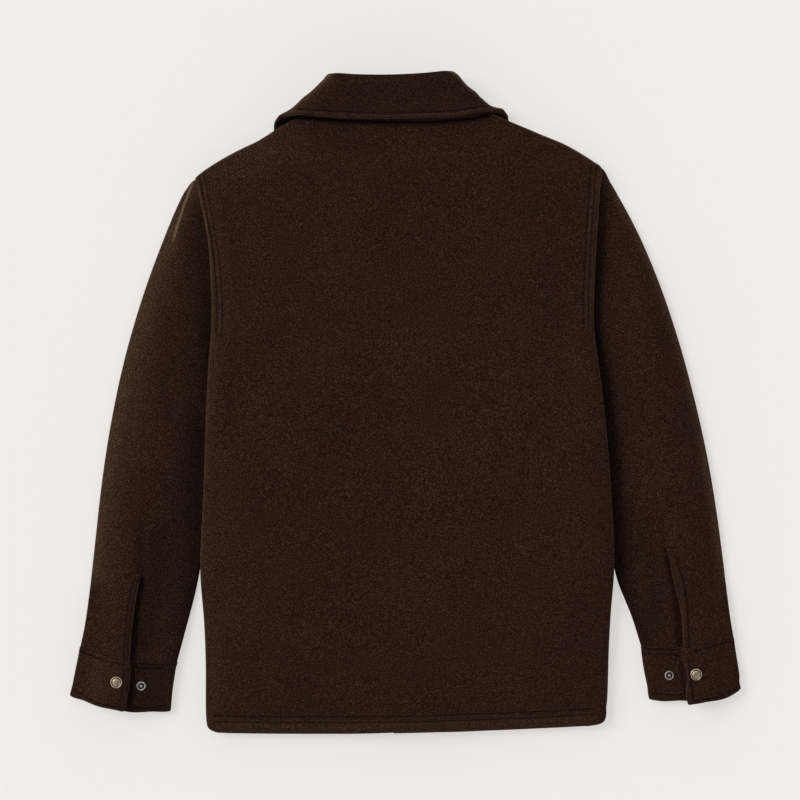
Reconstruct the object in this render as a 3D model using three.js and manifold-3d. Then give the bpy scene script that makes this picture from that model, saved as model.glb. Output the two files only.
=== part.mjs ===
import * as THREE from 'three';
import { mergeVertices } from 'three/addons/utils/BufferGeometryUtils.js';
import Module from 'manifold-3d';

const wasm = await Module();
wasm.setup();

// An insulated wool shirt jacket, laid out face down with its back up.
// Its own centre line is Y, up to the collar. X runs to its right side and Z is up.
// Millimetres. Every piece of cloth is one closed wall.

// Gaps, cloth and padding
const SEAM_GAP = 0.3;
const LAY_ANGLE = 1.14;
const LAY_SHIFT = { x: -6.4, y: 1.2 };
const BACK_WALL = { edge: 5.9, middle: 9 };
const FRONT_WALL = { edge: 5.6, middle: 8.3 };
const PLACKET_WALL = 4.5;
const SLEEVE_WALL = { thin: 3.5, thick: 6.2 };
const AIR_UNDER_BACK = 3;
const PADDING_RAMP = 60;
const BACK_RIM = 12;
const FOLD_RADIUS = 5.4;
const HEM_RADIUS = { back: 3.4, front: 2 };
const HEM_CORNER = 16;

// Body: half widths from the centre line to each side, from the neck down to the hem.
// under is the height of what lies beneath the back's edge, lift that of the sleeve beneath
// the front's edge, and inset how far the front's edge stays inside the back's.
const BODY_SECTIONS = [
  { at: 'neck', y: 346, left: 86, right: 86, under: 7, lift: 0, inset: 0 },
  { at: 'collar edge', y: 329, left: 113, right: 114, under: 7, lift: 0, inset: 0 },
  { at: 'shoulder, inner', y: 316, left: 137, right: 142, under: 7, lift: 0, inset: 0 },
  { at: 'shoulder, quarter', y: 305, left: 155, right: 168, under: 7, lift: 0, inset: 0 },
  { at: 'shoulder, middle', y: 294, left: 180, right: 194, under: 7, lift: 0, inset: 0 },
  { at: 'shoulder, outer', y: 279, left: 208, right: 219, under: 7, lift: 0, inset: 0 },
  { at: 'shoulder end', y: 270, left: 222.5, right: 231.8, under: 7.4, lift: 0, inset: 3 },
  { at: 'shoulder tip', y: 263, left: 230.5, right: 238, under: 8.2, lift: 0, inset: 9.2 },
  { at: 'armhole, top', y: 250, left: 228.5, right: 235.2, under: 8.2, lift: 0, inset: 9.2 },
  { at: 'armhole, upper', y: 220, left: 223.5, right: 232.6, under: 8.2, lift: 0, inset: 9.2 },
  { at: 'armhole, middle', y: 170, left: 216.2, right: 228.4, under: 8.2, lift: 0, inset: 9.2 },
  { at: 'armhole, lower', y: 120, left: 213.4, right: 225, under: 8.2, lift: 0, inset: 9.2 },
  { at: 'armhole, foot', y: 90, left: 214.4, right: 223.6, under: 9.6, lift: 1.2, inset: 9.2 },
  { at: 'underarm', y: 56, left: 217.8, right: 226.2, under: 13.9, lift: 7.9, inset: 9.2 },
  { at: 'side, top', y: 36, left: 219.4, right: 228.8, under: 14.1, lift: 8, inset: 0.4 },
  { at: 'chest', y: 0, left: 221.8, right: 232.8, under: 14.1, lift: 8, inset: 0 },
  { at: 'waist', y: -110, left: 227.6, right: 240, under: 13.6, lift: 7.8, inset: 0 },
  { at: 'sleeve parts', y: -195, left: 233.2, right: 242.2, under: 11.2, lift: 4.4, inset: 0 },
  { at: 'hip', y: -235, left: 230.4, right: 238, under: 7.2, lift: 0.4, inset: 0 },
  { at: 'above hem', y: -290, left: 228.8, right: 234, under: 6.4, lift: 0, inset: 0 },
  { at: 'hem, stitched', y: -350, left: 230.2, right: 231.4, under: 6.4, lift: 0, inset: 0 },
  { at: 'hem corner, top', y: -364, left: 229.8, right: 228.6, under: 6.4, lift: 0, inset: 0 },
  { at: 'hem corner, middle', y: -372, left: 226.4, right: 224, under: 6.4, lift: 0, inset: 0 },
  { at: 'hem', y: -377.5, left: 216, right: 208, under: 6.4, lift: 0, inset: 0 },
];
const NECK_Y = 346;
const HEM_Y = -377.5;
const FRONT_NECK = { halfWidth: 87, top: 347, foot: 255 };
const FRONT_TOP_Y = 337;
const PLACKET = { halfWidth: 19, stitchX: 13, top: 250 };

// The right front's band lies over the placket, and both fronts lie over the sleeves.
const BAND = { reach: 15, level: 8, ramp: 32, gap: 3 * SEAM_GAP };
const BACK_OVER_BAND = { height: 2 * PLACKET_WALL + 9 * SEAM_GAP, level: 18, top: 300, ramp: 30 };
const FRONT_OVER_SLEEVE = { level: 10, ramp: 40 };

// Collar, from the middle of the neck's back round to the point at the front, each side alike.
// fold is the middle of its roll, seam the neck seam under it, edge the middle of its free edge,
// and drift how far it has slipped to the right.
const COLLAR_WALL = 4;
const STAND_WALL = 3.8;
const ROLL_RADIUS = 4.3;
const STAND_BELOW_ROLL = 1.8;
const COLLAR_SIDE_SWELL = 0.4;
const COLLAR_STATIONS = [
  {
    at: 'back', foldX: 0, foldY: 371.8, foldZ: 17.6, seamX: 0, seamY: 346.4, seamZ: 13.2,
    edgeX: 0, edgeY: 325, edgeZ: 22, drift: -3,
  },
  {
    at: 'back, outer', foldX: 40, foldY: 373, foldZ: 17.6, seamX: 46, seamY: 346.4, seamZ: 13.2,
    edgeX: 62, edgeY: 327, edgeZ: 21.8, drift: -3,
  },
  {
    at: 'before the turn', foldX: 65, foldY: 375.5, foldZ: 16.4, seamX: 72, seamY: 347.2,
    seamZ: 12.8, edgeX: 110, edgeY: 332.5, edgeZ: 20.4, drift: -3,
  },
  {
    at: 'turn', foldX: 71, foldY: 373, foldZ: 10.5, seamX: 81, seamY: 348.6, seamZ: 10.6,
    edgeX: 133, edgeY: 326.5, edgeZ: 10, drift: -3,
  },
  {
    at: 'after the turn', foldX: 69, foldY: 366, foldZ: 6.6, seamX: 81.5, seamY: 342, seamZ: 10,
    edgeX: 138, edgeY: 315, edgeZ: 3.4, drift: -2,
  },
  {
    at: 'leaf, upper', foldX: 60, foldY: 345, foldZ: 4.8, seamX: 78, seamY: 316, seamZ: 9.4,
    edgeX: 126, edgeY: 287, edgeZ: 2.2, drift: -0.5,
  },
  {
    at: 'leaf, lower', foldX: 36, foldY: 309, foldZ: 4.5, seamX: 51, seamY: 275.5, seamZ: 8.8,
    edgeX: 98, edgeY: 242, edgeZ: 2.2, drift: 0,
  },
  {
    at: 'point', foldX: 6, foldY: 294, foldZ: 4.5, seamX: 6, seamY: 258.5, seamZ: 8.8,
    edgeX: 64, edgeY: 204, edgeZ: 2.2, drift: 0,
  },
];

// The leaf's outline under the front, and how it lifts what lies on it.
const LEAF_CORNERS = [
  { x: 72, y: 374 }, { x: 146, y: 324 }, { x: 140, y: 298 }, { x: 112, y: 240 }, { x: 64, y: 191 },
  { x: 4, y: 296 },
];
const LEAF_LIFT = 5.4;
const LEAF_RAMP = 16;
const LEAF_MARGIN = { front: 6, back: 14 };
const LEAF_FADE = { fromX: 12, belowY: 257, drop: 5 };

// Sleeves: outer and inner edge of each section from the armhole to the cuff seam, as
// distances from the centre line. bow carries the section's middle on towards the cuff.
const SLEEVE_SECTIONS = {
  left: [
    { along: 0, outX: 222.3, outY: 262, inX: 209.6, inY: 58, bow: 0 },
    { along: 0.03, outX: 238, outY: 255.5, inX: 210, inY: 48, bow: -2 },
    { along: 0.07, outX: 247.5, outY: 240, inX: 210.6, inY: 36, bow: -4 },
    { along: 0.17, outX: 267, outY: 196, inX: 212.4, inY: 4, bow: -3 },
    { along: 0.32, outX: 294.3, outY: 124.6, inX: 215.8, inY: -46, bow: 0 },
    { along: 0.5, outX: 321.5, outY: 33, inX: 221, inY: -104, bow: 1 },
    { along: 0.68, outX: 343, outY: -72, inX: 228, inY: -156, bow: 2 },
    { along: 0.84, outX: 357, outY: -176, inX: 238, inY: -208, bow: 4 },
    { along: 0.93, outX: 366.1, outY: -242, inX: 250.3, inY: -252, bow: 6 },
    { along: 1, outX: 373.6, outY: -274.3, inX: 262.4, inY: -294, bow: 7 },
  ],
  right: [
    { along: 0, outX: 229.8, outY: 262, inX: 217.9, inY: 58, bow: 0 },
    { along: 0.03, outX: 244.5, outY: 253.5, inX: 218.6, inY: 48, bow: -2 },
    { along: 0.07, outX: 252.5, outY: 239, inX: 219.6, inY: 36, bow: -4 },
    { along: 0.17, outX: 277, outY: 192, inX: 223, inY: 4, bow: -3 },
    { along: 0.32, outX: 306, outY: 118, inX: 227, inY: -46, bow: 0 },
    { along: 0.5, outX: 333, outY: 24, inX: 232, inY: -104, bow: 1 },
    { along: 0.68, outX: 355, outY: -84, inX: 237, inY: -156, bow: 2 },
    { along: 0.84, outX: 367.5, outY: -182, inX: 243.6, inY: -204, bow: 4 },
    { along: 0.93, outX: 373.6, outY: -245, inX: 260, inY: -246, bow: 6 },
    { along: 1, outX: 378.4, outY: -278.2, inX: 271, inY: -284, bow: 7 },
  ],
};
const CUFF_SECTIONS = {
  left: [
    { along: 0, outX: 373.9, outY: -274.6, inX: 262.4, inY: -294.3, bow: 7 },
    { along: 0.5, outX: 379.6, outY: -300, inX: 267, inY: -320, bow: 7 },
    { along: 1, outX: 385.4, outY: -327, inX: 271.4, inY: -345, bow: 12 },
  ],
  right: [
    { along: 0, outX: 378.5, outY: -278.5, inX: 271.1, inY: -284.3, bow: 7 },
    { along: 0.5, outX: 382.2, outY: -306, inX: 275.6, inY: -313, bow: 8 },
    { along: 1, outX: 386.5, outY: -333.6, inX: 280.2, inY: -345.4, bow: 12.5 },
  ],
};
// Vent: where the slit lies across the section, how far its outer side is raised, and how far
// the inner side reaches in beneath it.
const VENT = {
  left: [
    { along: 0, across: 0.47, raise: 0, reach: 0 },
    { along: 0.82, across: 0.47, raise: 0, reach: 0 },
    { along: 0.86, across: 0.445, raise: 4.8, reach: 0 },
    { along: 0.92, across: 0.455, raise: 6.5, reach: 8 },
    { along: 1, across: 0.511, raise: 8.5, reach: 14 },
  ],
  right: [
    { along: 0, across: 0.5, raise: 0, reach: 0 },
    { along: 0.79, across: 0.5, raise: 0, reach: 0 },
    { along: 0.83, across: 0.49, raise: 4.8, reach: 0 },
    { along: 0.9, across: 0.475, raise: 6.5, reach: 8 },
    { along: 1, across: 0.546, raise: 8.5, reach: 14 },
  ],
};
const CUFF_VENT = [
  { along: 0, raise: 8.5, reach: 14 },
  { along: 1, raise: 9.5, reach: 16 },
];
const VENT_SLIT = 0.8;
const LAP_LEVEL = 15;
const SLEEVE_HEIGHT = { tucked: 7.3, middle: 15.4, cuff: 8.6 };
const SLEEVE_TUCK = { head: 8, inner: 17, rim: 2 };
const SLEEVE_RAMP = 42;
const SLEEVE_OUTER_SHARE = 0.45;
const SLEEVE_THINS = { from: 0.72, freeIn: 0.2 };
const HEAD_BLEND = 0.3;

// Snaps
const SNAP = { radius: 7.5, height: 2.2, rim: 1.1, bevel: 0.5, dish: 0.6, seat: 9.5 };
const STUD = { radius: 5.2, height: 1.6, post: 2.2, postHeight: 1.6, bevel: 0.6 };
const FRONT_SNAP = { radius: 7.5, depth: 1.6, first: 236, count: 7, spacing: 96 };
const SNAP_PLACES = {
  left: { capX: 332.6, capY: -314.6, studX: 304.3, studY: -318.7 },
  right: { capX: 334.5, capY: -318.7, studX: 303.3, studY: -319 },
};

// Colours, roughness and metalness
const WOOL = { color: 0x2b1c15, roughness: 0.95, metalness: 0 };
const WOOL_UNDER = { color: 0x261812, roughness: 0.95, metalness: 0 };
const BRASS = { color: 0x6f6250, roughness: 0.42, metalness: 0.9 };

const clamp01 = (value) => Math.min(1, Math.max(0, value));
const ease = (value) => THREE.MathUtils.smoothstep(value, 0, 1);
const mix = THREE.MathUtils.lerp;

// Tables

// The slope of a table's column at one of its rows, kept flat at a peak or a hollow.
function rowSlope(table, key, column, index) {
  const before = table[index - 1];
  const here = table[index];
  const after = table[index + 1];
  const rise = (from, to) => (to[column] - from[column]) / (to[key] - from[key]);
  if (!before) return rise(here, after);
  if (!after) return rise(before, here);
  const first = rise(before, here);
  const second = rise(here, after);
  return first * second <= 0 ? 0 : (2 * first * second) / (first + second);
}

// A column's value between two rows, on a smooth line that never overshoots them.
function readTable(table, key, at, column) {
  const falling = table[0][key] > table[1][key];
  const past = (row) => (falling ? row[key] <= at : row[key] >= at);
  const found = table.findIndex(past);
  if (found === 0) return table[0][column];
  if (found < 0) return table[table.length - 1][column];
  const from = table[found - 1];
  const to = table[found];
  const span = to[key] - from[key];
  const t = (at - from[key]) / span;
  const startSlope = rowSlope(table, key, column, found - 1) * span;
  const endSlope = rowSlope(table, key, column, found) * span;
  const start = (2 * t ** 3 - 3 * t ** 2 + 1) * from[column] + (t ** 3 - 2 * t ** 2 + t) * startSlope;
  return start + (3 * t ** 2 - 2 * t ** 3) * to[column] + (t ** 3 - t ** 2) * endSlope;
}

const spread = (from, to, steps) => Array.from({ length: steps + 1 }, (_, i) => mix(from, to, i / steps));

// Walls

// A closed wall from a grid of outer points and the inner points that face them.
function clothWall(outer, inner, { ring = false, gone = () => false } = {}) {
  const rows = outer.length;
  const columns = outer[0].length;
  const cellColumns = ring ? columns : columns - 1;
  const positions = [...outer.flat(), ...inner.flat()].flatMap((point) => point.toArray());
  const layer = rows * columns;
  const index = (i, j) => i * columns + (j % columns);
  const has = (i, j) => {
    const column = ring ? (j + columns) % columns : j;
    return i >= 0 && i < rows - 1 && column >= 0 && column < cellColumns && !gone(i, column);
  };
  const faces = [];
  const side = (p, q) => faces.push(q, p, p + layer, q, p + layer, q + layer);
  for (let i = 0; i < rows - 1; i += 1) {
    for (let j = 0; j < cellColumns; j += 1) {
      if (!has(i, j)) continue;
      const a = index(i, j);
      const b = index(i, j + 1);
      const c = index(i + 1, j + 1);
      const d = index(i + 1, j);
      faces.push(a, b, c, a, c, d);
      faces.push(a + layer, c + layer, b + layer, a + layer, d + layer, c + layer);
      if (!has(i - 1, j)) side(a, b);
      if (!has(i, j + 1)) side(b, c);
      if (!has(i + 1, j)) side(c, d);
      if (!has(i, j - 1)) side(d, a);
    }
  }
  const geometry = new THREE.BufferGeometry();
  geometry.setAttribute('position', new THREE.Float32BufferAttribute(positions, 3));
  geometry.setIndex(faces);
  return facingOut(geometry);
}

function signedVolume(geometry) {
  const corner = [new THREE.Vector3(), new THREE.Vector3(), new THREE.Vector3()];
  const { position } = geometry.attributes;
  let sum = 0;
  for (let i = 0; i < geometry.index.count; i += 3) {
    corner.forEach((point, k) => point.fromBufferAttribute(position, geometry.index.getX(i + k)));
    sum += corner[0].dot(corner[1].clone().cross(corner[2]));
  }
  return sum / 6;
}

function facingOut(geometry) {
  if (signedVolume(geometry) < 0) {
    const index = geometry.index.array;
    for (let i = 0; i < index.length; i += 3) {
      [index[i + 1], index[i + 2]] = [index[i + 2], index[i + 1]];
    }
  }
  return geometry;
}

// Body

const bodyAt = (y, column) => readTable(BODY_SECTIONS, 'y', y, column);
const sideOf = (x) => (x < 0 ? 'left' : 'right');

// The share of a distance across the body that counts square to its slanting edge.
function edgeSlant(y, side) {
  const step = 3;
  const top = Math.min(NECK_Y, y + step);
  const foot = Math.max(HEM_Y, y - step);
  const turn = (bodyAt(top, side) - bodyAt(foot, side)) / (top - foot);
  return 1 / Math.hypot(1, turn);
}

const hemCut = (y) => ease((HEM_Y + HEM_CORNER - y) / HEM_CORNER);

function edgeDistance(x, y) {
  const side = sideOf(x);
  const slant = mix(edgeSlant(y, side), 1, hemCut(y));
  return Math.max(0, (bodyAt(y, side) - Math.abs(x)) * slant);
}

// 1 where the collar's leaf lies beneath the front and a margin beyond, then falling to 0.
function leafCover(x, y, margin) {
  let outside = -Infinity;
  LEAF_CORNERS.forEach((corner, i) => {
    const next = LEAF_CORNERS[(i + 1) % LEAF_CORNERS.length];
    const length = Math.hypot(next.x - corner.x, next.y - corner.y);
    const away = (next.x - corner.x) * (y - corner.y) - (next.y - corner.y) * (Math.abs(x) - corner.x);
    outside = Math.max(outside, away / length);
  });
  return 1 - ease((outside - margin) / LEAF_RAMP);
}

// Below the neck the leaf's lift fades out towards the placket.
function leafLift(x, y) {
  const beside = ease((Math.abs(x) - LEAF_FADE.fromX) / LEAF_RAMP);
  const clearOfPlacket = mix(1, beside, ease((LEAF_FADE.belowY - y) / LEAF_FADE.drop));
  return LEAF_LIFT * leafCover(x, y, LEAF_MARGIN.front) * clearOfPlacket;
}

// 1 over the two bands at the centre, falling to 0 beside them.
const bandCover = (x) => 1 - ease((x - PLACKET.halfWidth - BAND.level) / BAND.ramp);
const inward = (x, y) => ease(edgeDistance(x, y) / PADDING_RAMP);
const quarterRound = (distance, radius) => {
  const left = Math.max(0, radius - distance);
  return radius - Math.sqrt(Math.max(0, radius ** 2 - left ** 2));
};

// The height of the front's outer face above the surface.
function frontFoot(x, y) {
  const pastSleeve = ease((edgeDistance(x, y) - FRONT_OVER_SLEEVE.level) / FRONT_OVER_SLEEVE.ramp);
  return bodyAt(y, 'lift') * (1 - pastSleeve) + leafLift(x, y);
}

function frontThickness(x, y) {
  const offLeaf = 1 - leafCover(x, y, LEAF_MARGIN.front);
  return mix(FRONT_WALL.edge, FRONT_WALL.middle, inward(x, y) * offLeaf * ease((y - HEM_Y) / PADDING_RAMP));
}

// The height of the back's inner face above the surface.
function backFoot(x, y) {
  const { height, level, top, ramp } = BACK_OVER_BAND;
  const overBand = height * bandCover(Math.abs(x) - level) * ease((top - y) / ramp);
  const overLeaf = LEAF_LIFT * leafCover(x, y, LEAF_MARGIN.back);
  const edge = Math.max(bodyAt(y, 'under'), overBand) + overLeaf;
  const raised = ease((y - HEM_Y) / PADDING_RAMP);
  const middle = mix(edge, FRONT_WALL.middle + SEAM_GAP + AIR_UNDER_BACK, raised);
  return mix(edge, Math.max(edge, middle), ease((edgeDistance(x, y) - BACK_RIM) / PADDING_RAMP));
}

function backThickness(x, y) {
  const fromEnds = Math.min(y - HEM_Y, NECK_Y - y);
  return mix(BACK_WALL.edge, BACK_WALL.middle, inward(x, y) * ease(fromEnds / PADDING_RAMP));
}

// Distances across the body from one side to the other, closest together at the round sides.
const ROUND_STEPS = [0, 0.5, 2, FOLD_RADIUS];
function acrossFrom(half, y, side, reach, shares) {
  const slant = mix(edgeSlant(y, side), 1, hemCut(y));
  const round = ROUND_STEPS.map((distance) => half - distance / slant);
  const inner = shares.map((share) => mix(round[round.length - 1], reach, share));
  return [...round, ...inner];
}
const BACK_SHARES = spread(0, 1, 8).slice(1);
const FRONT_SHARES = [0.16, 0.32, 0.48, 0.64, 0.78, 0.88, 0.95, 1];

const BODY_ROWS = [
  346, 337, 329, 322, 316, 310, 305, 299, 294, 287, 279, 270, 263, 256, 250, 236, 220, 200, 180, 150, 120,
  90, 70, 56, 36, 10, -30, -70, -110, -150, -180, -205, -235, -265, -300, -335, -355, -364, -370,
  -374, -377.5,
];

function backPanel() {
  const outer = [];
  const inner = [];
  BODY_ROWS.forEach((y) => {
    const left = acrossFrom(bodyAt(y, 'left'), y, 'left', 0, BACK_SHARES).map((x) => -x);
    const right = acrossFrom(bodyAt(y, 'right'), y, 'right', 0, BACK_SHARES);
    const places = [...left, ...right.reverse().slice(1)];
    inner.push(places.map((x) => new THREE.Vector3(x, y, backFoot(x, y))));
    outer.push(places.map((x) => {
      const side = quarterRound(edgeDistance(x, y), FOLD_RADIUS);
      const hem = quarterRound(y - HEM_Y, HEM_RADIUS.back);
      const top = backFoot(x, y) + backThickness(x, y) - Math.max(side, hem);
      return new THREE.Vector3(x, y, top);
    }));
  });
  return clothWall(outer, inner);
}

function frontNeckEdge(y) {
  const { halfWidth, top, foot } = FRONT_NECK;
  const down = clamp01((top - y) / (top - foot));
  return halfWidth * Math.sqrt(1 - down ** 2);
}

// The right front's band crosses the centre above the placket, so its inner edge is raised.
function frontPanel(side) {
  const sign = side === 'left' ? -1 : 1;
  const besidePlacket = PLACKET.halfWidth + SEAM_GAP;
  const bandEdge = side === 'left' ? besidePlacket : -BAND.reach;
  const rows = BODY_ROWS.filter((y) => y <= FRONT_TOP_Y);
  const outer = [];
  const inner = [];
  rows.forEach((y) => {
    const edge = y > PLACKET.top ? Math.max(frontNeckEdge(y), besidePlacket) : bandEdge;
    const half = bodyAt(y, side) - bodyAt(y, 'inset');
    const places = acrossFrom(half, y, side, edge, FRONT_SHARES);
    const banded = (x) => (side === 'right' ? bandCover(x) : 0);
    const foot = (x) => frontFoot(sign * x, y) + (PLACKET_WALL + BAND.gap) * banded(x);
    const wall = (x) => mix(frontThickness(sign * x, y), PLACKET_WALL, banded(x));
    const cut = (x) => (half - x) * edgeSlant(y, side);
    inner.push(places.map((x) => new THREE.Vector3(sign * x, y, foot(x) + wall(x))));
    outer.push(places.map((x) => {
      const fold = quarterRound(cut(x), FOLD_RADIUS - SEAM_GAP);
      const hem = quarterRound(y - HEM_Y, HEM_RADIUS.front);
      return new THREE.Vector3(sign * x, y, foot(x) + Math.max(fold, hem));
    }));
  });
  return clothWall(outer, inner);
}

const PLACKET_ROWS = [
  PLACKET.top, 243, 235, 225, 210, 190, 150, 90, 30, -30, -90, -150, -210, -270, -330, HEM_Y,
];

function placket() {
  const { halfWidth, stitchX } = PLACKET;
  const places = [-halfWidth, -stitchX, 0, stitchX, halfWidth];
  const layer = (height) => PLACKET_ROWS.map((y) => {
    return places.map((x) => new THREE.Vector3(x, y, height + leafLift(x, y)));
  });
  return clothWall(layer(0), layer(PLACKET_WALL));
}

// Collar

// A smooth line through one point of each station, from the left point round the back to
// the right point.
function stationLine(name) {
  const point = (station, sign) => {
    const { [`${name}X`]: x, [`${name}Y`]: y, [`${name}Z`]: z, drift } = station;
    return new THREE.Vector3(sign * x + drift, y, z);
  };
  const right = COLLAR_STATIONS.map((station) => point(station, 1));
  const left = COLLAR_STATIONS.slice(1).map((station) => point(station, -1)).reverse();
  return new THREE.CatmullRomCurve3([...left, ...right], false, 'catmullrom', 0.5);
}
const FOLD_LINE = stationLine('fold');
const SEAM_LINE = stationLine('seam');
const EDGE_LINE = stationLine('edge');
const COLLAR_STEPS = 36;

// The two directions of the collar's section at a place along it: down its face and out of it.
function collarFrame(t) {
  const step = 0.004;
  const along = FOLD_LINE.getPoint(Math.min(1, t + step)).sub(FOLD_LINE.getPoint(Math.max(0, t - step)));
  const down = EDGE_LINE.getPoint(t).sub(FOLD_LINE.getPoint(t)).normalize();
  const out = down.clone().cross(along).normalize();
  return { down: along.clone().cross(out).normalize(), out };
}

function collarFall() {
  const rollAngles = [180, 135, 90, 45, 0];
  const falls = [0.25, 0.5, 0.75, 1];
  const outer = [];
  const inner = [];
  spread(0, 1, COLLAR_STEPS).forEach((t) => {
    const fold = FOLD_LINE.getPoint(t);
    const edge = EDGE_LINE.getPoint(t);
    const { down, out } = collarFrame(t);
    const onRoll = (angle, radius) => {
      const turn = THREE.MathUtils.degToRad(angle);
      return fold.clone().addScaledVector(down, -radius * Math.sin(turn))
        .addScaledVector(out, radius * Math.cos(turn));
    };
    const top = fold.clone().addScaledVector(out, ROLL_RADIUS - COLLAR_WALL / 2);
    const sideways = 1 - clamp01(Math.abs(out.z));
    const onFall = (share, level) => {
      const swell = COLLAR_SIDE_SWELL * Math.sin(Math.PI * share) * sideways;
      return top.clone().lerp(edge, share).addScaledVector(out, level + swell);
    };
    outer.push([
      ...rollAngles.map((angle) => onRoll(angle, ROLL_RADIUS)),
      ...falls.map((share) => onFall(share, COLLAR_WALL / 2)),
    ]);
    inner.push([
      ...rollAngles.map((angle) => onRoll(angle, ROLL_RADIUS - COLLAR_WALL)),
      ...falls.map((share) => onFall(share, -COLLAR_WALL / 2)),
    ]);
  });
  return clothWall(outer, inner);
}

function collarStand() {
  const shares = [0.02, 0.35, 0.7, 1];
  const outer = [];
  const inner = [];
  spread(0, 1, COLLAR_STEPS).forEach((t) => {
    const { down, out } = collarFrame(t);
    const inRoll = FOLD_LINE.getPoint(t).addScaledVector(out, -ROLL_RADIUS);
    const top = inRoll.addScaledVector(down, STAND_BELOW_ROLL);
    const seam = SEAM_LINE.getPoint(t);
    const line = shares.map((share) => top.clone().lerp(seam, share));
    inner.push(line);
    outer.push(line.map((point) => point.clone().addScaledVector(out, STAND_WALL)));
  });
  return clothWall(outer, inner);
}

// Sleeves and cuffs

const sectionAt = (table, along) => ({
  outX: readTable(table, 'along', along, 'outX'),
  outY: readTable(table, 'along', along, 'outY'),
  inX: readTable(table, 'along', along, 'inX'),
  inY: readTable(table, 'along', along, 'inY'),
  bow: readTable(table, 'along', along, 'bow'),
});

// A point of a sleeve or cuff in plan, across 0 at its outer edge and 1 at its inner edge.
function planPoint(table, along, across) {
  const { outX, outY, inX, inY, bow } = sectionAt(table, along);
  const x = mix(outX, inX, across);
  const y = mix(outY, inY, across);
  const width = Math.hypot(inX - outX, inY - outY);
  const carry = bow * Math.sin(Math.PI * across);
  return new THREE.Vector2(x - (carry * (outY - inY)) / width, y - (carry * (outX - inX)) / width);
}

// The sleeve's head follows the armhole, tucked beneath the back's edge.
function sleevePlan(side, along, across) {
  const table = SLEEVE_SECTIONS[side];
  const point = planPoint(table, along, across);
  if (along >= HEAD_BLEND) return point;
  const start = planPoint(table, 0, across);
  const y = mix(table[0].outY, table[0].inY, across);
  const onArmhole = new THREE.Vector2(bodyAt(y, side) - SLEEVE_TUCK.head, y);
  return point.addScaledVector(onArmhole.sub(start), 1 - ease(along / HEAD_BLEND));
}

const widthAt = (table, along) => {
  const { outX, outY, inX, inY } = sectionAt(table, along);
  return Math.hypot(outX - inX, outY - inY);
};

// The sleeve's height, thin where it is tucked beneath the body and at the cuff.
function sleeveHeight(side, along, across) {
  const table = SLEEVE_SECTIONS[side];
  const width = widthAt(table, along);
  const point = sleevePlan(side, along, across);
  const fromArmhole = sleevePlan(side, 0, across).distanceTo(point);
  const fromInner = (1 - across) * width;
  const fromOuter = across * width;
  const { from, freeIn } = SLEEVE_THINS;
  const tuck = mix(SLEEVE_TUCK.inner, 0, ease((along - from) / freeIn));
  const headRise = ease((fromArmhole - SLEEVE_TUCK.head - SLEEVE_TUCK.rim) / SLEEVE_RAMP);
  const innerRise = ease((fromInner - tuck) / SLEEVE_RAMP);
  const outerRise = mix(SLEEVE_OUTER_SHARE, 1, ease(fromOuter / SLEEVE_RAMP));
  const loft = mix(SLEEVE_HEIGHT.middle, SLEEVE_HEIGHT.cuff, ease((along - from) / (1 - from)));
  return mix(SLEEVE_HEIGHT.tucked, loft, headRise * innerRise * outerRise);
}

const wallFor = (height) => {
  return Math.min(SLEEVE_WALL.thick, Math.max(SLEEVE_WALL.thin, height / 2 - SEAM_GAP / 2));
};

// One ring of a flattened tube: from the vent out over the top to the outer edge, back along
// the underside, round the inner edge and over the top to the vent again.
const RING = { outerTop: 5, under: 4, innerTop: 5, turns: [60, 30, 0, -30, -60] };
function tubeRing(plan, height, width, vent, sign) {
  const outer = [];
  const inner = [];
  const place = (across, outZ, inAcross, inZ) => {
    const out = plan(across);
    const into = plan(inAcross);
    outer.push(new THREE.Vector3(sign * out.x, out.y, outZ));
    inner.push(new THREE.Vector3(sign * into.x, into.y, inZ));
  };
  const flat = (across, top, raise = 0) => {
    const tall = height(across);
    const wall = wallFor(tall);
    if (top) place(across, tall + raise, across, tall + raise - wall);
    else place(across, 0, across, wall);
  };
  const turn = (edge, order) => {
    const radius = height(edge) / 2;
    const small = radius - wallFor(height(edge));
    order.forEach((angle) => {
      const around = THREE.MathUtils.degToRad(angle);
      const from = (distance) => Math.abs(edge - distance / width);
      const outDistance = radius - radius * Math.cos(around);
      const inDistance = radius - small * Math.cos(around);
      place(from(outDistance), radius + radius * Math.sin(around),
        from(inDistance), radius + small * Math.sin(around));
    });
  };
  const roundShare = (edge) => height(edge) / 2 / width;
  const slit = VENT_SLIT / 2 / width;
  const lapTop = vent.across - slit;
  const lapRamp = lapTop * width - 1.5 * LAP_LEVEL;
  const raiseAt = (across) => {
    const fromEdge = (lapTop - across) * width;
    return vent.raise * (1 - ease((fromEdge - LAP_LEVEL) / lapRamp));
  };
  spread(lapTop, roundShare(0), RING.outerTop).forEach((across) => flat(across, true, raiseAt(across)));
  turn(0, RING.turns);
  spread(roundShare(0), 1 - roundShare(1), RING.under).forEach((across) => flat(across, false));
  turn(1, [...RING.turns].reverse());
  const lapUnder = vent.across + slit - vent.reach / width;
  spread(1 - roundShare(1), lapUnder, RING.innerTop).forEach((across) => flat(across, true));
  return { outer, inner };
}

const STEPS_ABOVE_VENT = [
  0, 0.018, 0.04, 0.07, 0.11, 0.16, 0.22, 0.29, 0.36, 0.44, 0.52, 0.6, 0.67, 0.73, 0.78,
];
const STEPS_BELOW_VENT = [0.86, 0.9, 0.94, 0.97, 1];

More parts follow.
